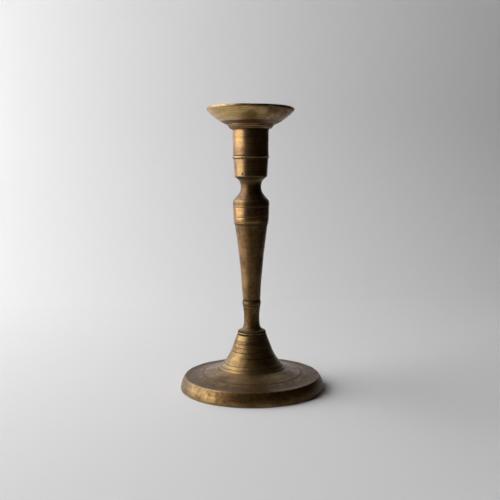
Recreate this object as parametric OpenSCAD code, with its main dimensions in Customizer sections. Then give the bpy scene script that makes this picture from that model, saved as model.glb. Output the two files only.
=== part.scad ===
// Turned brass candlestick with a lift-out drip pan.
// Sections cast and turned one by one are stacked on a tie rod, which a nut under the base draws tight.
// Millimetres, +Z up, origin on the table under the middle of the base.

/* [Base] */
// Widest diameter of the base rim
base_d = 109.6; // [102:0.2:116]
// Height of the rim's crest above the table
rim_h = 10.1; // [9.4:0.1:11.4]
// Height of the bell's top face above the table
bell_h = 41.7; // [39:0.1:45]
// Diameter of the bell's top face
bell_top_d = 22.1; // [21.6:0.1:23.6]
// Wall of the base casting
base_wall = 2.8; // [2.2:0.1:3.2]

/* [Stem foot] */
// Thickness of the loose ring between the bell and the stem foot
seat_ring_h = 1.9; // [1.6:0.1:2.4]
// Diameter of the seat ring
seat_ring_d = 21.8; // [20.4:0.1:22]
// Height of the stem foot, from its flange to the top of its collar
foot_h = 23.9; // [22:0.1:30]
// Diameter of the stem foot's flange
flange_d = 20.5; // [19.6:0.1:21.4]
// Diameter of the stem foot's waist
waist_d = 11.7; // [11:0.1:12.6]
// Diameter of the collar at the top of the stem foot
collar_d = 14.1; // [13.8:0.1:15]

/* [Stem shaft] */
// Length of the tapered shaft
shaft_h = 58.2; // [45:0.1:80]
// Diameter of the shaft at its lower end
shaft_low_d = 13.2; // [12.6:0.1:13.4]
// Diameter of the shaft at its upper end
shaft_top_d = 24.8; // [24:0.1:25.4]
// How far the shaft's side is hollowed below a straight taper
shaft_hollow = 0.7; // [0.1:0.1:1]

/* [Knop] */
// Height of the knop, from the shaft to the candle socket
knop_h = 34.8; // [33:0.1:40]
// Widest diameter of the knop
knop_d = 27.6; // [27:0.1:29]
// Diameter of the knop's neck
neck_d = 15.3; // [14.4:0.1:16.4]

/* [Candle socket] */
// Diameter of the candle that the socket takes
candle_d = 22; // [21:0.1:22.2]
// Height of the candle socket
socket_h = 35.7; // [33:0.1:42]
// Outer diameter of the socket's tube
socket_d = 26.8; // [26.6:0.1:28]
// Diameter of the ring round the socket
socket_ring_d = 27.9; // [27.7:0.1:29]

/* [Drip pan] */
// Diameter of the drip pan
pan_d = 65.2; // [60:0.2:72]
// Height of the drip pan above the socket
pan_h = 15.4; // [14.6:0.1:18]
// Wall of the drip pan
pan_wall = 1.4; // [1.1:0.1:1.6]
// Depth of the pan's sleeve inside the socket
sleeve_depth = 20; // [14:0.5:24]

/* [Fastenings] */
// Diameter of the tie rod
rod_d = 6; // [5:0.1:6]
// Width across the flats of the square nut
nut_w = 11; // [10:0.5:12]
// Diameter of the washer under the bell
washer_d = 18; // [16:0.5:19]
// Diameter of the pin that locks the socket on the knop
pin_d = 1.6; // [1.2:0.1:2]
// Direction of the pin, from +X round towards +Y
pin_turn = 241; // [180:1:300]

/* [Hidden] */
$fn = 160;

brass = [0.56, 0.43, 0.22];
worn_brass = [0.64, 0.50, 0.27];
steel = [0.36, 0.34, 0.31];

// Clearance between a spigot and its recess, and between the sleeve and the socket
fit = 0.05;
sleeve_fit = 0.1;

// Turned lines: width, depth, and the ones on the bell, as heights above the table
line_w = 0.5;
line_deep = 0.28;
bell_lines = [16.3, 17.7, 20, 29.2, 32.4, 35.2];

// Levels at which the sections meet
ring_z = bell_h;
foot_z = ring_z + seat_ring_h;
shaft_z = foot_z + foot_h;
knop_z = shaft_z + shaft_h;
socket_z = knop_z + knop_h;
pan_z = socket_z + socket_h;

// Candle bore: the sleeve is a little wider than the candle
candle_gap = 0.25;
sleeve_wall = 0.9;
bore_r = candle_d / 2 + candle_gap;
sleeve_r = bore_r + sleeve_wall;
cup_r = sleeve_r + sleeve_fit;

// How far a cutting body reaches past the face it cuts
past = 1;

// Spigots and recesses, radius and length
foot_spigot_r = 5.5;
foot_recess_h = 2.8;
spigot_gap = 0.4;
foot_spigot_h = seat_ring_h + foot_recess_h - 0.2;
shaft_spigot_r = 4.6;
shaft_spigot_h = 4;
knop_recess_r = 9;
knop_recess_h = 4;
socket_spigot_r = 5;
socket_spigot_h = 6;

// Tie rod, nut and washer: the rod passes the nut by a few threads and ends inside the knop
rod_r = rod_d / 2;
rod_hole_r = rod_r + 0.2;
boss_h = 6.8;
boss_z = bell_h - boss_h;
washer_h = 1.6;
nut_h = 5.5;
nut_z = boss_z - washer_h - nut_h;
rod_past_nut = 3.5;
rod_low_z = nut_z - rod_past_nut;
rod_top_z = knop_z + 29;

// ---- Curves. Every outline is a list of [radius, height] points.

// Cubic curve from a to d, pulled by b and c, without its first point
function curve(a, b, c, d, n = 14) =
    [for (i = [1:n]) let (t = i / n, u = 1 - t) u*u*u * a + 3*u*u*t * b + 3*u*t*t * c + t*t*t * d];

// Round arc from a to b, without its first point. Its middle stands sag to the right of the line a to b
function bow(a, b, sag, n = 12) =
    let (chord = norm(b - a), along = (b - a) / chord, right = [along.y, -along.x],
         half = 2 * atan(2 * abs(sag) / chord), r = chord / 2 / sin(half), side = sign(sag))
    [for (i = [1:n]) let (turn = half * (2 * i / n - 1))
        (a + b) / 2 + r * sin(turn) * along + side * (r * cos(turn) - r * cos(half)) * right];

// Turned line cut into an upright side at height z, where the side's radius is r
function line(r, z) = [[r, z - line_w / 2], [r - line_deep, z], [r, z + line_w / 2]];

module turned(outline) {
    rotate_extrude() polygon(outline);
}

// ---- Base: a bell on a shallow dished plate with a rounded rim, hollow underneath

base_r = base_d / 2;
rim_w = 4.2;
crest_r = base_r - rim_w;
step_share = 0.69;
step_r = base_r * step_share;
step_rise = 1.9;
step_z = rim_h + step_rise;
bell_top_r = bell_top_d / 2;
bell_foot_z = bell_lines[0];
bell_taper = 9.4;
bell_flare = 5;

// Radius of the bell's side at height z: a straight taper that flares out towards the foot
function bell_r(z) =
    let (drop = (bell_h - z) / (bell_h - bell_foot_z))
    bell_top_r + bell_taper * drop + bell_flare * pow(drop, 5);

// Side of the bell from its foot to its top, with the turned lines
bell_stops = concat(bell_lines, [bell_h - 0.4]);
bell_side = [for (k = [0:len(bell_lines) - 1]) each concat(
    [[bell_r(bell_stops[k]) - line_deep, bell_stops[k]]],
    [for (i = [0:6]) let (low = bell_stops[k] + line_w / 2, high = bell_stops[k + 1] - line_w / 2,
                          z = low + (high - low) * i / 6) [bell_r(z), z]])];

rim_low = [base_r - 0.1, 0.6];
rim_high = [crest_r + 1, rim_h - 0.45];
crest_in = [crest_r + 0.2, rim_h];
step_out = [step_r + line_w / 2, step_z - 0.1];
step_in = [step_r - line_w / 2, step_z];
flare_top = [bell_r(bell_foot_z), bell_foot_z - line_w / 2];

base_outside = concat(
    [[base_r - 0.5, 0], rim_low],
    bow(rim_low, rim_high, 0.65),
    bow(rim_high, crest_in, 0.1, 6),
    curve(crest_in, crest_in + [-4.5, -0.5], step_out + [4.5, -1.4], step_out),
    [[step_r, step_z - line_deep]], [step_in],
    curve(step_in, step_in + [-5.5, 1.5], flare_top + [2, -1.2], flare_top),
    bell_side,
    [[bell_top_r, bell_h - 0.5], [bell_top_r - 0.4, bell_h]]);

// The hollow follows the outside one wall thickness in
hollow_foot = [bell_r(bell_foot_z + 2) - base_wall, bell_foot_z + 2];
under_step = [step_r - 0.5, step_z - base_wall];
under_rim = [crest_r - 1.8, rim_h - base_wall - 0.1];
base_inside = concat(
    [[foot_spigot_r + fit, bell_h], [foot_spigot_r + fit, bell_h - foot_recess_h],
     [rod_hole_r, bell_h - foot_recess_h], [rod_hole_r, boss_z], [bell_r(boss_z) - base_wall, boss_z]],
    [for (i = [1:8]) let (z = boss_z + (hollow_foot.y - boss_z) * i / 8) [bell_r(z) - base_wall, z]],
    curve(hollow_foot, flare_top + [-0.4, -4.6], under_step + [-5.5, 0.6], under_step),
    curve(under_step, under_step + [4.5, -1.4], under_rim + [-4.2, -0.5], under_rim),
    bow(under_rim, [base_r - base_wall - 0.4, 0], -0.6));

module base() {
    color(brass) turned(concat(base_outside, base_inside));
}

// ---- Seat ring: a loose ring with a half-round edge, which makes the double line above the bell

module seat_ring() {
    edge = 0.7;
    flat_r = seat_ring_d / 2 - edge;
    color(worn_brass) translate([0, 0, ring_z]) turned(concat(
        [[foot_spigot_r + fit, 0], [flat_r, 0]],
        bow([flat_r, 0], [flat_r, seat_ring_h], edge, 10),
        [[foot_spigot_r + fit, seat_ring_h]]));
}

// ---- Stem foot: flange, waist and collar in one turning, with a spigot into the bell

module stem_foot() {
    flange_r = flange_d / 2;
    waist_r = waist_d / 2;
    collar_r = collar_d / 2;
    flange_top = [flange_r - 0.5, 1];
    waist = [waist_r, foot_h * 0.43];
    collar_h = 3.5;
    collar_low = [collar_r - 0.15, foot_h - collar_h];
    under_collar = [waist_r + 0.8, foot_h - collar_h - 1.3];
    recess_z = foot_h - shaft_spigot_h - spigot_gap;
    collar_top = [collar_r - 0.25, foot_h - 0.3];
    color(brass) translate([0, 0, foot_z]) turned(concat(
        [[rod_hole_r, -foot_spigot_h], [foot_spigot_r, -foot_spigot_h], [foot_spigot_r, 0],
         [flange_r - 0.3, 0], [flange_r, 0.3], [flange_r, 0.7], flange_top],
        curve(flange_top, flange_top + [-3.9, 1], [waist_r, foot_h * 0.22], waist, 20),
        bow(waist, under_collar, -0.2, 10),
        [under_collar + [-0.15, 0.4], under_collar + [-0.1, 0.7], collar_low + [-0.25, -0.1], collar_low],
        bow(collar_low, collar_top, 0.2, 8),
        [[collar_r - 0.6, foot_h], [shaft_spigot_r + fit, foot_h],
         [shaft_spigot_r + fit, recess_z], [rod_hole_r, recess_z]]));
}

// ---- Stem shaft: a hollow-sided taper, cored inside, with a spigot at each end

module stem_shaft() {
    low_r = shaft_low_d / 2;
    top_r = shaft_top_d / 2;
    core_top = [knop_recess_r - 3, shaft_h + knop_recess_h - spigot_gap];
    core_low = [rod_hole_r, 12];
    color(brass) translate([0, 0, shaft_z]) turned(concat(
        [[rod_hole_r, -shaft_spigot_h], [shaft_spigot_r, -shaft_spigot_h], [shaft_spigot_r, 0],
         [low_r - 0.2, 0], [low_r, 0.2]],
        bow([low_r, 0.2], [top_r, shaft_h - 0.2], -shaft_hollow, 24),
        [[top_r - 0.2, shaft_h], [knop_recess_r - fit, shaft_h], [knop_recess_r - fit, core_top.y],
         core_top],
        bow(core_top, core_low, 0.5, 10)));
}

// ---- Knop: banded drum, sloping shoulder and hollow neck, bored for the tie rod

module neck_knop() {
    drum_r = knop_d / 2;
    neck_r = neck_d / 2;
    lip_r = drum_r - 0.9;
    lower_line = knop_h * 0.15;
    upper_line = knop_h * 0.362;
    brow = [drum_r - 0.15, knop_h * 0.47];
    shoulder = [drum_r - 0.75, knop_h * 0.515];
    neck = [neck_r, knop_h * 0.78];
    mouth = [socket_d / 2 - 1.9, knop_h];
    core_r = knop_recess_r - 2.4;
    rod_seat_z = knop_h * 0.42;
    core_z = rod_seat_z - 2;
    rod_end_z = knop_h - 4;
    color(brass) translate([0, 0, knop_z]) turned(concat(
        [[knop_recess_r, 0], [lip_r - 0.3, 0], [lip_r, 0.3], [lip_r, 1.1], [lip_r + 0.15, 1.5]],
        bow([lip_r + 0.15, 1.5], [drum_r - 0.35, lower_line - line_w / 2], 0.08, 6),
        line(drum_r - 0.35, lower_line),
        line(drum_r - 0.1, upper_line),
        bow([drum_r - 0.1, upper_line + line_w / 2], brow, 0.08, 6),
        bow(brow, shoulder, 0.15, 6),
        curve(shoulder, shoulder + [-3.1, 3.5], neck - [0, 3.7], neck, 18),
        curve(neck, neck + [0, 3.9], mouth + [-2.6, -1.9], mouth, 16),
        [[socket_spigot_r, knop_h], [socket_spigot_r, knop_h + socket_spigot_h - 0.4],
         [socket_spigot_r - 0.4, knop_h + socket_spigot_h], [0, knop_h + socket_spigot_h],
         [0, rod_end_z], [rod_r + fit, rod_end_z], [rod_r + fit, rod_seat_z],
         [core_r, core_z], [core_r, knop_recess_h], [knop_recess_r, knop_recess_h]]));
}

// ---- Candle socket: tube above, tapered cup below, a ring between, and a solid floor

floor_h = 7.6;

// The pin starts in the knop's spigot and stops short of the cup's surface
pin_z = socket_z + 2.3;
pin_inner = socket_spigot_r;
pin_outer = socket_d / 2 - 1.6;

module pin_place() {
    translate([0, 0, pin_z]) rotate([0, 90, pin_turn]) children();
}

module candle_socket() {
    tube_r = socket_d / 2;
    ring_r = socket_ring_d / 2;
    cup_low_r = tube_r - 1.15;
    ring_h = socket_h * 0.42;
    ring_low = [ring_r, ring_h - 0.4];
    ring_top = [ring_r, ring_h + 0.2];
    cup_edge = [cup_low_r - 0.7, 0];
    cup_top = [tube_r - 0.2, ring_h - 1];
    tube_low = [tube_r - 0.05, ring_h + 2];
    recess_h = socket_spigot_h + spigot_gap;
    color(worn_brass) difference() {
        translate([0, 0, socket_z]) turned(concat(
            [[0, recess_h], [socket_spigot_r + fit, recess_h], [socket_spigot_r + fit, 0], cup_edge],
            bow(cup_edge, [cup_low_r, 0.9], 0.2, 6),
            [cup_top],
            bow(cup_top, ring_low, -0.15, 5),
            bow(ring_low, ring_top, 0.1, 5),
            bow(ring_top, tube_low + [-0.1, -1], -0.1, 5),
            [tube_low],
            bow(tube_low, [tube_r + 0.3, socket_h - 0.3], -0.1, 12),
            [[tube_r + 0.05, socket_h], [cup_r + 0.2, socket_h], [cup_r, socket_h - 0.2],
             [cup_r, floor_h + 0.6], [cup_r - 0.6, floor_h], [0, floor_h]]));
        pin_place() cylinder(d = pin_d + 2 * fit, h = tube_r + past);
    }
}

module socket_pin() {
    color(steel) pin_place() translate([0, 0, pin_inner]) cylinder(d = pin_d, h = pin_outer - pin_inner);
}

// ---- Drip pan: a bowed dish on a stepped foot, with a sleeve soldered through its floor

// Height of the dish's floor above the socket
floor_z = 3 + pan_wall;

module drip_pan() {
    dish_bow = 0.85;
    pan_r = pan_d / 2;
    foot_r = socket_d / 2 + 1.6;
    bead_r = foot_r + 3.2;
    bead_low = [bead_r - 1, 2.6];
    bead_top = [bead_r - 0.9, 3.3];
    dish_low = [bead_r + 0.5, 3.5];
    dish_high = [pan_r - 0.4, pan_h - 2];
    lip = [pan_r, pan_h - 1.3];
    lip_top = [pan_r - 0.4, pan_h];
    inner_high = [pan_r - 1.5, pan_h - 0.5];
    inner_low = dish_low + [-0.3, pan_wall * 1.3];
    color(brass) translate([0, 0, pan_z]) turned(concat(
        [[sleeve_r + fit, 0], [foot_r, 0], [foot_r + 1.3, 1.2], [foot_r + 1.9, 2.1], [foot_r + 1.6, 2.4],
         bead_low],
        bow(bead_low, bead_top, 0.35, 6),
        [dish_low],
        bow(dish_low, dish_high, dish_bow, 18),
        bow(dish_high, lip, 0.08, 4),
        bow(lip, lip_top, 0.2, 6),
        bow(lip_top, inner_high, 0.25, 6),
        bow(inner_high, inner_low, -dish_bow, 18),
        bow(inner_low, [foot_r, floor_z], -0.15, 6),
        [[sleeve_r + fit, floor_z]]));
}

module pan_sleeve() {
    flange_r = sleeve_r + 1.5;
    flange_h = 0.7;
    slit_w = 1.2;
    slit_h = sleeve_depth - 2;
    tube_h = sleeve_depth + floor_z;
    color(worn_brass) translate([0, 0, pan_z - sleeve_depth]) difference() {
        union() {
            cylinder(r = sleeve_r, h = tube_h);
            translate([0, 0, tube_h]) cylinder(r = flange_r, h = flange_h);
        }
        translate([0, 0, -past]) cylinder(r = bore_r, h = tube_h + flange_h + 2 * past);
        translate([0, -slit_w / 2, -past]) cube([sleeve_r + past, slit_w, slit_h + past]);
    }
}

// ---- Tie rod, washer and nut

module tie_rod() {
    chamfer = 0.6;
    color(steel) turned([[0, rod_low_z], [rod_r - chamfer, rod_low_z], [rod_r, rod_low_z + chamfer],
                         [rod_r, rod_top_z - chamfer], [rod_r - chamfer, rod_top_z], [0, rod_top_z]]);
}

module base_washer() {
    color(steel) translate([0, 0, boss_z - washer_h]) difference() {
        cylinder(d = washer_d, h = washer_h);
        translate([0, 0, -past]) cylinder(r = rod_hole_r, h = washer_h + 2 * past);
    }
}

module base_nut() {
    corner_d = nut_w * 1.32;
    chamfer_h = (corner_d - nut_w) / 3;
    color(steel) translate([0, 0, nut_z]) difference() {
        intersection() {
            translate([-nut_w / 2, -nut_w / 2, 0]) cube([nut_w, nut_w, nut_h]);
            union() {
                cylinder(d1 = nut_w, d2 = corner_d, h = chamfer_h);
                translate([0, 0, chamfer_h]) cylinder(d = corner_d, h = nut_h);
            }
        }
        translate([0, 0, -past]) cylinder(r = rod_r + fit, h = nut_h + 2 * past);
    }
}

base();
seat_ring();
stem_foot();
stem_shaft();
neck_knop();
candle_socket();
socket_pin();
drip_pan();
pan_sleeve();
tie_rod();
base_washer();
base_nut();
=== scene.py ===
"""Turned brass candlestick with a lift-out drip pan.

Each turned section is spun again from its own CAD outline, with softened edges, tool marks, dents and
wear. Metres, +Z up, the frame's own origin. Lengths in millimetres are multiplied by MM.
"""

import math

import bmesh
import bpy
import numpy as np
from mathutils import Matrix, Vector


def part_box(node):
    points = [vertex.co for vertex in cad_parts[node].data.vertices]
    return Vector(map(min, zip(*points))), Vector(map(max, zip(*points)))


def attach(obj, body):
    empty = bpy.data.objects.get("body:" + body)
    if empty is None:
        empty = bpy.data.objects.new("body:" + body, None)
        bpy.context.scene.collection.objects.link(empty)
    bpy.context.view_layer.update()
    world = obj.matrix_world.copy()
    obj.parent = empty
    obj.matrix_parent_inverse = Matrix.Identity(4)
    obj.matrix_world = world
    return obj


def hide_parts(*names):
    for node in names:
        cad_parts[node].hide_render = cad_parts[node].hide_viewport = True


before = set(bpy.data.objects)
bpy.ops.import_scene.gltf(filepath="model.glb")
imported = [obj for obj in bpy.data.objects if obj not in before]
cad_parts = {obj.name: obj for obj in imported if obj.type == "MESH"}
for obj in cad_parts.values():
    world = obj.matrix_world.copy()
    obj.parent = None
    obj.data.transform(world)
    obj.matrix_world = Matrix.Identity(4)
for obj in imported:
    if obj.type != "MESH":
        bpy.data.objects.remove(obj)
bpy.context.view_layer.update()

MM = 0.001
STICK, PAN = "stick", "pan"


# ---- Outlines

SECTION_TURN = math.radians(100)  # direction of the cut, clear of the pin and of the sleeve's slit
WELD = 1e-6  # vertices closer than this are one
CROWDED = 5 * WELD  # points of a cut closer than this are one
TINY = 1e-12  # keeps a length above nought where something is divided by it
STRAIGHT = math.radians(0.05)  # a turn in the outline below this is no turn
STRAIGHT_PASSES = 3  # taking points out can leave others on a straight stretch
GENTLE = math.radians(5)  # a turn below this needs no point of its own
CORNER = math.radians(24)  # a turn above this is a corner, below it a curve
CORNER_SHARE = 0.3  # the most of a stretch that a softened corner takes up
THINNED_SHARE = 0.7  # of the spacing: points closer than this on a gentle curve are thinned out


def joined(edges, out):
    """For each vertex of the edges on the out side of the axis, the vertices it is joined to."""
    linked = {}
    for edge in edges:
        a, b = edge.verts
        if (a.co + b.co).dot(out) > WELD:
            linked.setdefault(a, []).append(b)
            linked.setdefault(b, []).append(a)
    return linked


def walked(linked, out):
    """The linked vertices in order, and whether they form a closed loop."""
    ends = [v for v in linked if len(linked[v]) == 1]
    start = min(ends or linked, key=lambda v: (v.co.z, v.co.dot(out)))
    path, last = [start], None
    while True:
        onward = [v for v in linked[path[-1]] if v is not last]
        if not onward or onward[0] is start:
            return path, not ends
        last = path[-1]
        path.append(onward[0])


def section(node):
    """Outline of a turned node, as [radius, height] points, and whether it is a closed loop.

    It is the cut through the axis. It runs up its outer side and down its inner side, and a solid that
    reaches the axis has an open one.
    """
    mesh = bmesh.new()
    mesh.from_mesh(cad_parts[node].data)
    bmesh.ops.remove_doubles(mesh, verts=mesh.verts, dist=WELD)
    out = Vector((math.cos(SECTION_TURN), math.sin(SECTION_TURN), 0))
    across = Vector((-out.y, out.x, 0))
    # The first cut puts vertices on the axis, and the second is the section itself
    for normal in (out, across):
        whole = mesh.verts[:] + mesh.edges[:] + mesh.faces[:]
        cut = bmesh.ops.bisect_plane(mesh, geom=whole, plane_co=(0, 0, 0), plane_no=normal)
    edges = [item for item in cut["geom_cut"] if isinstance(item, bmesh.types.BMEdge)]
    path, closed = walked(joined(edges, out), out)
    points = np.array([[v.co.dot(out), v.co.z] for v in path])
    mesh.free()
    keep = [0]
    for i in range(1, len(points)):
        if np.hypot(*(points[i] - points[keep[-1]])) > CROWDED:
            keep.append(i)
    points = points[keep]
    following = np.roll(points, -1, axis=0)
    if np.sum(points[:, 0] * following[:, 1] - following[:, 0] * points[:, 1]) < 0:
        points = points[::-1]
    return points, closed


def turns(points, closed):
    """Angle by which the outline turns at each point, positive on outside corners."""
    before = points - np.roll(points, 1, axis=0)
    after = np.roll(points, -1, axis=0) - points
    cross = before[:, 0] * after[:, 1] - before[:, 1] * after[:, 0]
    angle = np.arctan2(cross, (before * after).sum(axis=1))
    if not closed:
        angle[[0, -1]] = 0
    return angle


def straightened(points, closed):
    """The outline without the points that lie on a straight stretch."""
    for _ in range(STRAIGHT_PASSES):
        keep = np.abs(turns(points, closed)) > STRAIGHT
        if not closed:
            keep[[0, -1]] = True
        points = points[keep]
    return points


def unit(ways):
    """A direction, or each row of an array of directions, made one long."""
    return ways / np.maximum(np.hypot(ways[..., 0], ways[..., 1]), TINY)[..., None]


def hermite(a, b, way_a, way_b, steps):
    """Points from a to b, without b, that leave along way_a and arrive along way_b."""
    t = np.linspace(0, 1, steps, endpoint=False)[:, None]
    length = np.hypot(*(b - a))
    return (
        (2 * t**3 - 3 * t**2 + 1) * a + (t**3 - 2 * t**2 + t) * length * way_a
        + (3 * t**2 - 2 * t**3) * b + (t**3 - t**2) * length * way_b
    )


def small_round(before, corner, stop, soften):
    """Three points of a small round at a corner, from the stretch before it to stop."""
    back = min(soften, CORNER_SHARE * np.hypot(*(corner - before)))
    start = corner - unit(corner - before) * back
    return [(1 - t) ** 2 * start + 2 * t * (1 - t) * corner + t * t * stop for t in (0.25, 0.5, 0.75)]


def thinned(points, closed, spacing):
    """The outline without points that crowd together on a gentle curve."""
    bend = np.abs(turns(points, closed))
    keep = [0]
    for i in range(1, len(points)):
        step = points[i] - points[keep[-1]]
        length = max(np.hypot(*step), WELD)
        last = not closed and i == len(points) - 1
        if last or bend[i] > GENTLE or length > THINNED_SHARE * spacing(points[i], step / length):
            keep.append(i)
    return points[keep]


def smooth_outline(points, closed, spacing, soften):
    """The outline with curves in place of its short facets, and every corner softened by a small round.

    spacing says how far apart the points may be, for a place on the outline and the way it runs there.
    """
    points = straightened(points, closed)
    count = len(points)
    corner = np.abs(turns(points, closed)) > CORNER
    if not closed:
        corner[[0, -1]] = True
    made = []
    for i in range(count if closed else count - 1):
        j = (i + 1) % count
        a, b = points[i], points[j]
        straight = unit(b - a)
        trim = min(soften, CORNER_SHARE * np.hypot(*(b - a)))
        trim_a = trim if corner[i] and (closed or i > 0) else 0
        trim_b = trim if corner[j] and (closed or j < count - 1) else 0
        way_a = straight if corner[i] else unit(unit(a - points[i - 1]) + straight)
        way_b = straight if corner[j] else unit(unit(points[(j + 1) % count] - b) + straight)
        first, last = a + straight * trim_a, b - straight * trim_b
        if trim_a:
            made.extend(small_round(points[i - 1], a, first, soften))
        steps = max(1, math.ceil(np.hypot(*(last - first)) / spacing((first + last) / 2, straight)))
        made.extend(hermite(first, last, way_a, way_b, steps))
        if trim_b or (not closed and j == count - 1):
            made.append(last)
    return thinned(np.array(made), closed, spacing)


def lengths(outline, closed):
    """Distance along the outline to each of its points."""
    step = np.hypot(*(outline - np.roll(outline, 1, axis=0)).T)
    if not closed:
        step[0] = 0
    return np.cumsum(step)


def nearness(along, reach):
    """How near each point of an outline is to each other: 1 at the same place, little past the reach."""
    return np.exp(-(((along[:, None] - along[None, :]) / reach) ** 2))


def gap_to(outline, others):
    """Distance from each point of an outline to the nearest point of the neighbouring outlines."""
    nearest = np.full(len(outline), np.inf)
    for other in others:
        away = np.hypot(*(outline[:, None, :] - other[None, :, :]).transpose(2, 0, 1))
        nearest = np.minimum(nearest, away.min(axis=1))
    return nearest


# ---- Lumps, knocks and tool marks

SEED = 7
SMALLEST, SHALLOWEST = 0.35, 0.2  # the least knock, as a share of the widest and of the deepest

rng = np.random.default_rng(SEED)


def waves(count, shortest, longest):
    """A smooth random field over space, as a sum of plane waves with wavelengths between the two."""
    way = rng.normal(size=(count, 3))
    way /= np.linalg.norm(way, axis=1)[:, None]
    number = 2 * math.pi / (shortest * (longest / shortest) ** rng.random(count))
    phase = rng.random(count) * 2 * math.pi
    ways = way * number[:, None]

    def field(at):
        return np.sin(at @ ways.T + phase).sum(axis=-1) / math.sqrt(count / 2)

    return field


warp = [waves(24, shortest=12 * MM, longest=60 * MM) for axis in range(3)]
ripples = waves(28, shortest=2.2 * MM, longest=6 * MM)


def smoothstep(low, high, value):
    t = np.clip((value - low) / (high - low), 0, 1)
    return t * t * (3 - 2 * t)


def knocks_on(places, likely, count, deepest, widest):
    """Inward offsets for small knocks, scattered over the rings by how likely each is to be hit."""
    offset = np.zeros(places.shape[:2])
    rings = rng.choice(len(likely), size=count, p=likely / likely.sum())
    columns = rng.integers(0, places.shape[1], size=count)
    for ring, column in zip(rings, columns):
        width = widest * (SMALLEST + (1 - SMALLEST) * rng.random() ** 2)
        depth = deepest * (SHALLOWEST + (1 - SHALLOWEST) * rng.random() ** 3)
        away = np.linalg.norm(places - places[ring, column], axis=2)
        offset += depth * np.exp(-((away / width) ** 2))
    return -offset


# ---- Spinning

AROUND = 320  # vertices round each ring
TURN = np.linspace(0, 2 * math.pi, AROUND, endpoint=False)  # direction of each of them
SMOOTH_REACH = 0.5 * MM  # how far round a corner the direction of a shift is evened out
SHORTEST_EDGE = WELD / 10  # shorter edges are dissolved
POLE = WELD / 2  # vertices closer than this are merged, as at a pole


def to_space(profile):
    """The rings that an outline's points, or the directions at them, make round the Z axis."""
    rays = np.stack([np.cos(TURN), np.sin(TURN)], axis=1)
    flat = profile[:, None, 0, None] * rays[None]
    up = np.repeat(profile[:, None, 1, None], AROUND, axis=1)
    return np.concatenate([flat, up], axis=2)


def spin(name, outline, closed, move):
    """A mesh made by turning an outline round the Z axis. move gives each vertex a small shift."""
    ahead = np.roll(outline, -1, axis=0) - np.roll(outline, 1, axis=0)
    if not closed:
        ahead[0], ahead[-1] = outline[1] - outline[0], outline[-1] - outline[-2]
    ahead = unit(ahead)
    outward = np.stack([ahead[:, 1], -ahead[:, 0]], axis=1)
    outward = unit(nearness(lengths(outline, closed), SMOOTH_REACH) @ outward)
    places = to_space(outline)
    places = places + move(places, to_space(outward))
    if not closed:
        # Its ends are poles, where a whole ring is one point
        places[[0, -1]] = places[[0, -1]].mean(axis=1, keepdims=True)
    grid = np.arange(len(outline) * AROUND).reshape(-1, AROUND)
    low = grid if closed else grid[:-1]
    high = np.roll(grid, -1, axis=0) if closed else grid[1:]
    quads = np.stack([low, np.roll(low, -1, axis=1), np.roll(high, -1, axis=1), high], axis=-1)
    mesh = bpy.data.meshes.new(name)
    mesh.from_pydata(places.reshape(-1, 3).tolist(), [], quads.reshape(-1, 4).tolist())
    return mesh


def finish_mesh(mesh, marks):
    """Stores the wear marks, with their painted shade, on the mesh, and tidies its poles."""
    for label, values in marks.items():
        layer = mesh.attributes.new(label, "FLOAT", "POINT")
        layer.data.foreach_set("value", values.astype(np.float32))
    work = bmesh.new()
    work.from_mesh(mesh)
    bmesh.ops.dissolve_degenerate(work, edges=work.edges, dist=SHORTEST_EDGE)
    bmesh.ops.remove_doubles(work, verts=work.verts, dist=POLE)
    for face in work.faces:
        face.smooth = True
    work.to_mesh(mesh)
    work.free()
    mesh.validate()
    mesh.update()


def linked_object(name, mesh):
    piece = bpy.data.objects.new(name, mesh)
    bpy.context.scene.collection.objects.link(piece)
    return piece


def dress(piece, material):
    piece.data.materials.clear()
    piece.data.materials.append(material)


TURNED = ["base", "seat_ring", "stem_foot", "stem_shaft", "neck_knop", "candle_socket", "drip_pan"]
FITTED = ["pan_sleeve", "tie_rod", "base_washer", "base_nut"]  # keep their CAD meshes, and bound the gaps

PLAIN_STEP, PLAIN_SOFTEN = 0.4 * MM, 0.1 * MM  # for the outlines that gaps are measured to
FINE, MEDIUM, COARSE = 0.5 * MM, 1.2 * MM, 2 * MM  # between points: outside, inside and in joints
JOINT_GAP = 0.6 * MM  # a surface closer than this to a neighbour's is in a joint
HIDDEN_WAY = 0.2  # an outline that runs outward or down more than this is on the under or inner side
TIGHT_GAP, FREE_GAP = 0.3 * MM, 1.6 * MM  # lumps and knocks come in between these gaps to a neighbour
DIRTY_GAP, CLEAN_GAP = 0.1 * MM, 1.5 * MM  # dirt fades out between these
BEND_REACH = 0.5 * MM  # how far along the outline its turns are summed into its bend
# At FULL_EDGE an edge also gets the full painted highlight of EDGE
FULL_EDGE, FULL_GROOVE = 1.1, 0.9  # radians of bend at which an edge is bare, and a groove dirty
FLAT_HIT, MOST_BEND = 0.15, 1.2  # how likely a flat face is to be hit, and the most that a bend adds
TOOL_STEP, TOOL_DEPTH = 0.7 * MM, 0.012 * MM  # between the marks of the turning tool, and their depth
RIPPLE_SHARE = 0.18  # depth of the ripples, as a share of the lumps'
KNOCK_WIDTH = 1.5 * MM


def plain_spacing(at, way):
    return PLAIN_STEP


sections = {node: section(node) for node in TURNED + FITTED}
plain_outlines = {
    node: smooth_outline(*cut, plain_spacing, PLAIN_SOFTEN) for node, cut in sections.items()
}


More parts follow.
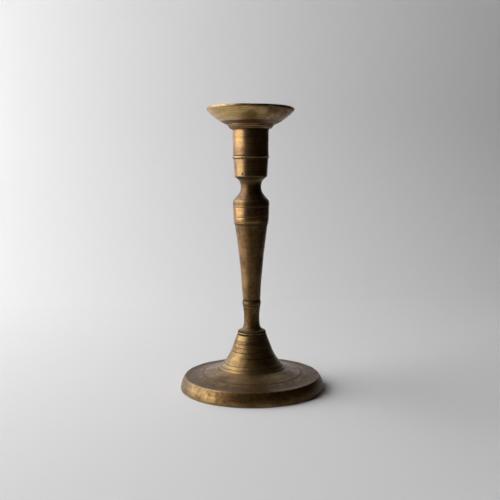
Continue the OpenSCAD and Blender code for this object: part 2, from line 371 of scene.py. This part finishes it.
def marks_for(outline, along, bend, gap, free, tarnish_and_shade):
    """What the materials read at each vertex: edge, groove, tarnish with painted shade, and its place
    along the outline.
    """
    hollow = np.clip(-bend / FULL_GROOVE, 0, 1)
    marks = {
        "edge": np.clip(bend / FULL_EDGE, 0, 1) * free,
        "groove": np.clip(hollow + smoothstep(CLEAN_GAP, DIRTY_GAP, gap), 0, 1),
        "along": along / MM,
    }
    marks = {label: np.repeat(values, AROUND) for label, values in marks.items()}
    turn = np.tile(TURN, len(outline))
    radius, height = np.repeat(outline / MM, AROUND, axis=0).T
    marks["tarnish_and_shade"] = tarnish_and_shade(radius * np.cos(turn), radius * np.sin(turn), radius, height)
    return marks


def turned_piece(node, body, material, tarnish_and_shade, lump, knocks, knock=0.16, soften=0.2,
                 inside=MEDIUM, shape=None):
    """Spins a CAD node's own outline again, with tool marks, lumps and knocks, to stand in for it.

    lump, knock and soften are the sizes of the lumps, knocks and softened corners, in millimetres.
    tarnish_and_shade gives how brown the brass is at a place, from tarnish and from painted shade: its x,
    y, radius and height, in millimetres.
    inside is the spacing of points on the under and inner sides. shape makes a last change to the mesh.
    """
    points, closed = sections[node]
    neighbours = [outline for name, outline in plain_outlines.items() if name != node]

    def spacing(at, way):
        if gap_to(at[None], neighbours)[0] < JOINT_GAP:
            return COARSE
        return inside if way[0] > HIDDEN_WAY or way[1] < -HIDDEN_WAY else FINE

    outline = smooth_outline(points, closed, spacing, soften * MM)
    gap = gap_to(outline, neighbours)
    free = smoothstep(TIGHT_GAP, FREE_GAP, gap)
    along = lengths(outline, closed)
    bend = nearness(along, BEND_REACH) @ turns(outline, closed)
    tool_at = np.arange(0, along[-1] + MM, TOOL_STEP)
    tooling = np.interp(along, tool_at, rng.normal(size=len(tool_at)))
    likely = free * (FLAT_HIT + np.clip(bend, 0, MOST_BEND))

    def move(places, normals):
        outward = RIPPLE_SHARE * lump * MM * ripples(places) + TOOL_DEPTH * tooling[:, None]
        outward = outward + knocks_on(places, likely, knocks, knock * MM, KNOCK_WIDTH)
        shift = np.stack([lump * MM * field(places) for field in warp], axis=-1)
        return free[:, None, None] * (shift + outward[..., None] * normals)

    mesh = spin(node + "_turned", outline, closed, move)
    finish_mesh(mesh, marks_for(outline, along, bend, gap, free, tarnish_and_shade))
    if shape:
        shape(mesh)
    piece = linked_object(node + "_turned", mesh)
    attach(piece, body)
    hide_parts(node)
    dress(piece, material)
    return piece


# ---- Materials

NOISE_SHIFT = (1, 1.7, 0.6)  # the way in which a shift moves a noise


class Nodes:
    """A short way to write a material's nodes."""

    def __init__(self, name):
        self.material = bpy.data.materials.new(name)
        self.material.use_nodes = True
        self.tree = self.material.node_tree
        self.shader = self.tree.nodes["Principled BSDF"]
        self.place = self.add("ShaderNodeTexCoord").outputs["Object"]

    def add(self, kind, **settings):
        node = self.tree.nodes.new(kind)
        for key, value in settings.items():
            setattr(node, key, value)
        return node

    def feed(self, socket, value):
        if isinstance(value, bpy.types.NodeSocket):
            self.tree.links.new(value, socket)
        else:
            socket.default_value = value

    def mark(self, label):
        return self.add("ShaderNodeAttribute", attribute_name=label).outputs["Fac"]

    def noise_at(self, place, detail, rough):
        node = self.add("ShaderNodeTexNoise")
        self.feed(node.inputs["Vector"], place)
        node.inputs["Scale"].default_value = 1
        node.inputs["Detail"].default_value = detail
        node.inputs["Roughness"].default_value = rough
        return node.outputs["Fac"]

    def noise(self, scale, detail=4, rough=0.55, stretch=(1, 1, 1), shift=0.0):
        """Cloudy noise, scale in lumps per metre."""
        mapping = self.add("ShaderNodeMapping")
        self.feed(mapping.inputs["Vector"], self.place)
        mapping.inputs["Scale"].default_value = [scale * s for s in stretch]
        mapping.inputs["Location"].default_value = [shift * s for s in NOISE_SHIFT]
        return self.noise_at(mapping.outputs["Vector"], detail, rough)

    def rings(self, scale, around, detail=3, rough=0.55):
        """Turning marks: noise along the outline, scale in lines per millimetre, drawn out round it."""
        parts = self.add("ShaderNodeSeparateXYZ")
        self.feed(parts.inputs["Vector"], self.place)
        place = self.add("ShaderNodeCombineXYZ")
        self.feed(place.inputs["X"], self.math("MULTIPLY", parts.outputs["X"], around))
        self.feed(place.inputs["Y"], self.math("MULTIPLY", parts.outputs["Y"], around))
        self.feed(place.inputs["Z"], self.math("MULTIPLY", self.mark("along"), scale))
        return self.noise_at(place.outputs["Vector"], detail, rough)

    def math(self, operation, a, b=0.0, clamp=False):
        node = self.add("ShaderNodeMath", operation=operation, use_clamp=clamp)
        self.feed(node.inputs[0], a)
        self.feed(node.inputs[1], b)
        return node.outputs[0]

    def total(self, *parts):
        """The sum of some values, each given with its weight."""
        whole = 0.0
        for value, weight in parts:
            whole = self.math("ADD", whole, self.math("MULTIPLY", value, weight))
        return whole

    def span(self, value, low, high, to_low=0.0, to_high=1.0):
        """Maps low..high to to_low..to_high, smoothly and with ends held."""
        node = self.add("ShaderNodeMapRange", interpolation_type="SMOOTHSTEP")
        for socket, number in zip(node.inputs, (value, low, high, to_low, to_high)):
            self.feed(socket, number)
        return node.outputs["Result"]

    def blend(self, amount, a, b):
        node = self.add("ShaderNodeMix", data_type="RGBA")
        self.feed(node.inputs["Factor"], amount)
        for name, value in (("A", a), ("B", b)):
            socket = next(s for s in node.inputs if s.name == name and s.type == "RGBA")
            self.feed(socket, (*value, 1) if isinstance(value, tuple) else value)
        return next(s for s in node.outputs if s.type == "RGBA")

    def bump(self, height, depth, normal=None):
        node = self.add("ShaderNodeBump")
        node.inputs["Strength"].default_value = 1
        node.inputs["Distance"].default_value = depth
        self.feed(node.inputs["Height"], height)
        if normal:
            self.feed(node.inputs["Normal"], normal)
        return node.outputs["Normal"]


# EDGE is lighter than bare brass: worn edges with a painted highlight on them
EDGE = (0.56, 0.37, 0.17)
BARE = (0.36, 0.20, 0.056)
WORN = (0.24, 0.124, 0.028)
PATINA = (0.135, 0.069, 0.010)
COPPER = (0.24, 0.095, 0.034)
RED_BROWN = (0.085, 0.034, 0.010)
OLIVE = (0.14, 0.098, 0.026)
DARK = (0.045, 0.020, 0.004)
GRIME = (0.016, 0.010, 0.005)

# The tarnish in these sums also carries painted shade
GOLDEN, BROWN = 1.45, 2.15  # sums of patchiness and tarnish, between which brass turns brown
SCORCH, SCORCHED = 1.35, 1.65  # sums of blotches and tarnish, between which it turns red-brown
MEAN_GRAIN = 0.13  # what mottle and fine lines add to the roughness on average
COAT_ROUGH = 0.4


def brass(name, rough, shift, light=WORN, lightest=BARE, coat=0.75, red=0.3, lines=0.4, edge_wear_and_highlight=0.9):
    """Old brass: golden where handled, brown where tarnished and where shade is painted, bare on its edges
    with a painted highlight, dirty in its grooves.

    shift moves the patterns, so that no two looks share them. coat, red, lines and edge_wear_and_highlight
    say how much there is of a clear film, of copper red, of turned lines and of bare edges with their
    painted highlight.
    """
    n = Nodes(name)

    # Patterns
    edge, groove, tarnish_and_shade = n.mark("edge"), n.mark("groove"), n.mark("tarnish_and_shade")
    clouds = n.noise(60, 5, 0.6, shift=shift)
    blotches = n.noise(170, 4, 0.6, stretch=(1, 1, 0.6), shift=shift + 2)
    mottle = n.noise(480, 4, 0.65, shift=shift + 3)
    specks = n.span(n.noise(900, 2, 0.5, shift=shift + 5), 0.66, 0.74)
    reddish = n.noise(90, 4, 0.6, stretch=(1, 1, 0.5), shift=shift + 9)
    greenish = n.noise(75, 3, 0.5, shift=shift + 17)
    fine = n.rings(2.4, 60)
    broad = n.rings(0.55, 25, 4, 0.65)
    brown = n.span(n.total((clouds, 1.1), (blotches, 1), (mottle, 0.5), (tarnish_and_shade, 1)), GOLDEN, BROWN)
    scorched = n.span(n.total((tarnish_and_shade, 1), (blotches, 0.6)), SCORCH, SCORCHED, 0, 0.85)
    dirt = n.math("MULTIPLY", groove, n.span(mottle, 0.25, 0.6, 0.7, 1))

    # Colour, from the metal to the dirt on it, with a painted highlight on the edges
    reddened = n.span(reddish, 0.48, 0.66, 0, red)
    gold = n.blend(n.span(mottle, 0.35, 0.68), light, lightest)
    gold = n.blend(n.span(greenish, 0.48, 0.66, 0, 0.55), gold, OLIVE)
    gold = n.blend(reddened, gold, COPPER)
    aged = n.blend(n.span(mottle, 0.4, 0.65), PATINA, DARK)
    aged = n.blend(reddened, aged, RED_BROWN)
    colour = n.blend(brown, gold, aged)
    colour = n.blend(scorched, colour, RED_BROWN)
    colour = n.blend(n.span(broad, 0.52, 0.66, 0, lines), colour, DARK)
    colour = n.blend(n.span(fine, 0.4, 0.7, 0, 0.5), colour, PATINA)
    # Bare rubbed edges, lightened further as a painted highlight
    rubbed_edge_and_highlight = n.math("MULTIPLY", edge, n.span(blotches, 0.35, 0.6, 0.4 * edge_wear_and_highlight, edge_wear_and_highlight))
    colour = n.blend(rubbed_edge_and_highlight, colour, EDGE)
    colour = n.blend(n.math("MULTIPLY", specks, 0.6), colour, GRIME)
    colour = n.blend(n.math("MULTIPLY", dirt, 0.85), colour, GRIME)
    n.feed(n.shader.inputs["Base Color"], colour)

    # Shine
    dull = n.math("MAXIMUM", n.math("MULTIPLY", brown, 0.06), n.math("MULTIPLY", dirt, 0.6))
    n.feed(n.shader.inputs["Metallic"], n.math("SUBTRACT", 1.0, dull))
    matt = n.total((brown, 0.1), (mottle, 0.14), (fine, 0.12), (dirt, 0.3), (edge, -0.08))
    n.feed(n.shader.inputs["Roughness"], n.math("ADD", matt, rough - MEAN_GRAIN, clamp=True))
    uncoated = n.math("MAXIMUM", n.math("MULTIPLY", dirt, 2), n.math("MULTIPLY", brown, 0.5))
    n.feed(n.shader.inputs["Coat Weight"], n.span(uncoated, 0, 1, coat, 0))
    n.shader.inputs["Coat Roughness"].default_value = COAT_ROUGH

    # Relief
    normal = n.bump(fine, 0.04 * MM)
    normal = n.bump(broad, 0.1 * MM * lines, normal)
    normal = n.bump(mottle, 0.05 * MM, normal)
    normal = n.bump(n.noise(1700, 2), 0.01 * MM, normal)
    normal = n.bump(specks, -0.04 * MM, normal)
    n.feed(n.shader.inputs["Normal"], normal)
    return n.material


DARK_IRON = (0.10, 0.092, 0.085)
LIGHT_IRON = (0.19, 0.175, 0.16)
RUST = (0.15, 0.062, 0.026)


def iron(name):
    """Dull iron with a thin brown rust."""
    n = Nodes(name)
    rust = n.span(n.noise(260, 5, 0.65), 0.42, 0.62)
    grain = n.noise(1500, 3, 0.6)
    colour = n.blend(grain, DARK_IRON, LIGHT_IRON)
    colour = n.blend(n.math("MULTIPLY", rust, 0.8), colour, RUST)
    n.feed(n.shader.inputs["Base Color"], colour)
    n.feed(n.shader.inputs["Metallic"], n.span(rust, 0, 1, 0.9, 0.15))
    n.feed(n.shader.inputs["Roughness"], n.span(rust, 0, 1, 0.42, 0.85))
    normal = n.bump(rust, 0.08 * MM)
    n.feed(n.shader.inputs["Normal"], n.bump(grain, 0.04 * MM, normal))
    return n.material


# ---- Tarnish and painted shade, by place in millimetres

STEP_LINE = 37.8  # radius of the turned line on the plate
STEP_LINE_DARK, STEP_LINE_WIDE = 0.3, 0.9  # to each side of its middle
SMUDGE, SMUDGE_REACH = (-16, -51.5, 6.2), (8, 6, 2)  # the stain on the front of the rim


def by(value, *stops):
    """A value that runs straight between stops, each a place and an amount."""
    return np.interp(value, *zip(*stops))


def patch(x, y, z, middle, reach):
    """1 in the middle of a stain and 0 away from it."""
    away = [(at - centre) / wide for at, centre, wide in zip((x, y, z), middle, reach)]
    return np.exp(-(away[0] ** 2 + away[1] ** 2 + away[2] ** 2))


def evenly(amount):
    """Tarnish that is the same all over."""
    def tarnish_and_shade(x, y, r, z):
        return np.full_like(z, amount)

    return tarnish_and_shade


def base_tarnish_and_shade(x, y, r, z):
    """Brown on the outer plate, with a dark line round it and a stain on the front of the rim, and painted
    shade: the line and the rim browner on their right.
    """
    rings = by(r, (14, 0.45), (26, 0.35), (STEP_LINE, 0.5), (44, 0.85), (50, 0.85), (54, 0.5))
    # A real turned line, made darker towards the right as painted shade from the bell
    line = smoothstep(STEP_LINE_WIDE, STEP_LINE_DARK, abs(r - STEP_LINE)) * by(x, (-30, 0.3), (10, 1.0))
    smudge = patch(x, y, z, SMUDGE, SMUDGE_REACH)
    # Painted shade: the rim and skirt made browner on the right, away from the window
    painted_shade_right_of_rim = smoothstep(-10, 45, x) * smoothstep(50, 53, r)
    return rings + 1.2 * line + 1.5 * smudge + 0.3 * painted_shade_right_of_rim


def neck_tarnish(x, y, r, z):
    """A golden drum, and a brown shoulder and neck above it."""
    return by(z, (138, 0.1), (140.5, 0.9), (158, 0.95), (162, 0.7))


def socket_tarnish(x, y, r, z):
    """A cup a little browner than the tube above its ring."""
    return by(z, (163, 0.3), (180, 0.42), (184, 0.1), (196, 0.25))


def pan_tarnish_and_shade(x, y, r, z):
    """A pale dish with a brown lip, and painted shade: a dark foot under the dish and a browner right
    side.
    """
    # Painted shade: the foot under the dish darkened, and the right side, away from the window, browned
    return by(z, (200.7, 1.7), (201.7, 0.0), (209, 0.0), (210.5, 1.0)) + 0.6 * smoothstep(-4, 16, x)


# ---- The candlestick

PAN_TILT = math.radians(1.3)  # the loose pan sits a little high at the front
PAN_TILT_TURN = math.radians(250)  # direction of its high side
PAN_LEVEL = 15 * MM  # radius of the pan's foot, which stays level
PAN_LEAN = 5 * MM  # distance from there over which the tilt comes in

PIN_HOLE = 0.92 * MM  # radius of the hole in the cup
PIN_HOLE_SIDES = 48
CUTTER_LENGTH = 13 * MM
CUTTER_OUT = 6 * MM  # from the pin's middle to the cutter's, whose outer end is past the cup


def tilt_pan(mesh):
    """Leans the dish on its foot, which stays level."""
    high = Vector((math.cos(PAN_TILT_TURN), math.sin(PAN_TILT_TURN)))
    for vertex in mesh.vertices:
        radius = math.hypot(vertex.co.x, vertex.co.y)
        share = min(max((radius - PAN_LEVEL) / PAN_LEAN, 0), 1)
        vertex.co.z += share * math.tan(PAN_TILT) * (vertex.co.x * high.x + vertex.co.y * high.y)
    mesh.update()


def stand_flat(mesh):
    """Keeps the rest face on the floor."""
    for vertex in mesh.vertices:
        vertex.co.z = max(vertex.co.z, 0)
    mesh.update()


def pin_cutter():
    """A cylinder that lies along the locking pin, and reaches out past the cup."""
    low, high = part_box("socket_pin")
    middle = (low + high) / 2
    way = Vector((middle.x, middle.y, 0)).normalized()
    turn = way.to_track_quat("Z", "Y").to_matrix().to_4x4()
    place = Vector((0, 0, middle.z)) + way * (middle.to_2d().length + CUTTER_OUT)
    work = bmesh.new()
    bmesh.ops.create_cone(work, cap_ends=True, segments=PIN_HOLE_SIDES, radius1=PIN_HOLE, radius2=PIN_HOLE,
                          depth=CUTTER_LENGTH, matrix=Matrix.Translation(place) @ turn)
    mesh = bpy.data.meshes.new("pin_cutter")
    work.to_mesh(mesh)
    work.free()
    return linked_object("pin_cutter", mesh)


def drill_pin_hole(piece):
    """Cuts the small hole that the locking pin sits in, low on the socket's cup."""
    cutter = pin_cutter()
    cut = piece.modifiers.new("hole", "BOOLEAN")
    cut.operation = "DIFFERENCE"
    cut.object = cutter
    cut.solver = "EXACT"
    bpy.context.view_layer.update()
    drilled = piece.evaluated_get(bpy.context.evaluated_depsgraph_get())
    mesh = bpy.data.meshes.new_from_object(drilled)
    piece.modifiers.clear()
    piece.data = mesh
    bpy.data.objects.remove(cutter)


aged = brass("aged_brass", rough=0.37, shift=0.0, light=(0.23, 0.136, 0.033),
             lightest=(0.35, 0.217, 0.065), coat=0.6, red=0.12, lines=0.8, edge_wear_and_highlight=0.35)
pale = brass("pale_brass", rough=0.4, shift=12.0, light=(0.46, 0.305, 0.11),
             lightest=(0.62, 0.42, 0.17), coat=0.4, red=0.15)
dark = brass("dark_brass", rough=0.36, shift=4.0)
rubbed = brass("rubbed_brass", rough=0.30, shift=8.0, red=0.75)
rusty = iron("iron")

turned_piece("base", STICK, aged, base_tarnish_and_shade, lump=0.05, knocks=90, knock=0.22,
             soften=0.3, shape=stand_flat)
turned_piece("seat_ring", STICK, dark, evenly(0.8), lump=0.02, knocks=10, knock=0.1)
turned_piece("stem_foot", STICK, aged, evenly(0.8), lump=0.03, knocks=24, knock=0.14)
turned_piece("stem_shaft", STICK, dark, evenly(0.6), lump=0.04, knocks=30)
turned_piece("neck_knop", STICK, rubbed, neck_tarnish, lump=0.04, knocks=36, soften=0.45)
socket = turned_piece("candle_socket", STICK, rubbed, socket_tarnish, lump=0.04,
                      knocks=24, soften=0.4)
drill_pin_hole(socket)
turned_piece("drip_pan", PAN, pale, pan_tarnish_and_shade, lump=0.08, knocks=40, inside=FINE,
             shape=tilt_pan)

dress(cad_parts["pan_sleeve"], rubbed)
for node in ("socket_pin", "tie_rod", "base_washer", "base_nut"):
    dress(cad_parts[node], rusty)


# ---- Floor, wall, light and camera, in metres, watts and degrees

BLACK = (0, 0, 0)
PAPER = (0.80, 0.80, 0.80)
ROOM_GREY = (0.7, 0.7, 0.7)

SHEET_LEFT = -0.7
SHEET_FRONT, SHEET_FRONT_RIGHT = -0.24, 0.15
SHEET_RIGHT, SHEET_SLANT = 0.225, 0.31  # its right edge at the stem, and its step out per metre back
SHEET_BEND, SHEET_WALL, SHEET_TOP = 0.37, 0.62, 1.6  # where it turns up, where it stands, and its height
ROOM_BEND, ROOM_WALL, ROOM_TOP = 1.9, 2.4, 2.6  # the same for the round room
ROOM_SIDES = 96
ROOM_DROP = 0.001  # the room's floor lies this far under the sheet
BEND_STEPS = 20

GLOW_COLOUR, GLOW = (1.0, 0.72, 0.42), 0.015  # of the dark room
WINDOW_COLOUR = (0.99, 0.985, 1.0)
WINDOW_POWER, WALL_POWER = 42, 3

LENS, SENSOR = 54.72, 36  # millimetres
CAMERA_AT = (-0.0010, -0.5718, 0.1644)
CAMERA_DOWN = 5.86
CAMERA_ROLL = -0.35


def stage_material(name, colour, glow):
    n = Nodes(name)
    n.feed(n.shader.inputs["Base Color"], (*colour, 1))
    n.shader.inputs["Roughness"].default_value = 0.9
    n.shader.inputs["Specular IOR Level"].default_value = 0.1
    n.shader.inputs["Emission Color"].default_value = (*glow, 1)
    n.shader.inputs["Emission Strength"].default_value = 1
    return n.material


def bend_up(flat, wall, high):
    """[run, height] points of a sheet that is flat, turns up in a quarter circle and stands."""
    radius = wall - flat
    turn = [i / BEND_STEPS * math.pi / 2 for i in range(BEND_STEPS + 1)]
    curve = [(flat + radius * math.sin(t), radius - radius * math.cos(t)) for t in turn]
    return curve + [(wall, high)]


def stage_piece(name, corners, faces, material):
    mesh = bpy.data.meshes.new(name)
    mesh.from_pydata(corners, [], faces)
    for polygon in mesh.polygons:
        polygon.use_smooth = True
    piece = linked_object(name, mesh)
    dress(piece, material)
    return piece


def set_sheet():
    """A pale sheet under the candlestick, which turns up behind it."""
    rows = [(SHEET_FRONT, SHEET_FRONT_RIGHT, 0)]
    for y, z in bend_up(SHEET_BEND, SHEET_WALL, SHEET_TOP):
        rows.append((y, SHEET_RIGHT + SHEET_SLANT * y, z))
    corners = [(x, y, z) for y, right, z in rows for x in (SHEET_LEFT, right)]
    faces = [(2 * i, 2 * i + 1, 2 * i + 3, 2 * i + 2) for i in range(len(rows) - 1)]
    stage_piece("pale_sheet", corners, faces, stage_material("pale_paper", PAPER, BLACK))


def set_room():
    """A round room beyond the sheet, which only the camera sees."""
    rim = bend_up(ROOM_BEND, ROOM_WALL, ROOM_TOP)
    corners = [(0, 0, -ROOM_DROP)]
    for run, height in rim:
        for k in range(ROOM_SIDES):
            turn = k / ROOM_SIDES * 2 * math.pi
            corners.append((run * math.cos(turn), run * math.sin(turn), height - ROOM_DROP))
    faces = [(0, 1 + k, 1 + (k + 1) % ROOM_SIDES) for k in range(ROOM_SIDES)]
    for i in range(len(rim) - 1):
        for k in range(ROOM_SIDES):
            low, onward = 1 + i * ROOM_SIDES, (k + 1) % ROOM_SIDES
            high = low + ROOM_SIDES
            faces.append((low + k, high + k, high + onward, low + onward))
    room = stage_piece("room", corners, faces, stage_material("room_wall", BLACK, ROOM_GREY))
    room.visible_glossy = False
    room.visible_diffuse = False
    room.visible_shadow = False


def window_light(name, power, place, size, turn, roll=0):
    """A lamp the shape of a window, which the camera doesn't see. size is along its own X and Y."""
    light = bpy.data.lights.new(name, "AREA")
    light.shape = "RECTANGLE"
    light.size, light.size_y = size
    light.energy = power
    light.color = WINDOW_COLOUR
    lamp = linked_object(name, light)
    lamp.location = place
    lamp.rotation_euler = [math.radians(angle) for angle in turn]
    lamp.rotation_euler.rotate_axis("Z", math.radians(roll))
    lamp.visible_camera = False


def light_room():
    """A big window at the camera's left, and more of its light on the wall. All else is dark."""
    world = bpy.data.worlds.new("dark_room")
    bpy.context.scene.world = world
    world.use_nodes = True
    background = world.node_tree.nodes["Background"]
    background.inputs["Color"].default_value = (*GLOW_COLOUR, 1)
    background.inputs["Strength"].default_value = GLOW
    window_light("window", WINDOW_POWER, place=(-1.0, 0.12, 1.0), size=(2.5, 1.3),
                 turn=(0, -90, 0), roll=23)
    window_light("window_on_wall", WALL_POWER, place=(-0.73, 0.6, 0.6), size=(0.55, 1.2),
                 turn=(90, 0, 0))


def set_camera():
    """A camera in front of the stem, above its middle, tipped down a little."""
    data = bpy.data.cameras.new("camera")
    data.lens = LENS
    data.sensor_width = SENSOR
    camera = linked_object("camera", data)
    camera.location = CAMERA_AT
    camera.rotation_euler = (math.radians(90 - CAMERA_DOWN), 0, 0)
    camera.rotation_euler.rotate_axis("Z", math.radians(CAMERA_ROLL))
    bpy.context.scene.camera = camera


set_sheet()
set_room()
light_room()
set_camera()
bpy.context.scene.view_settings.view_transform = "Standard"
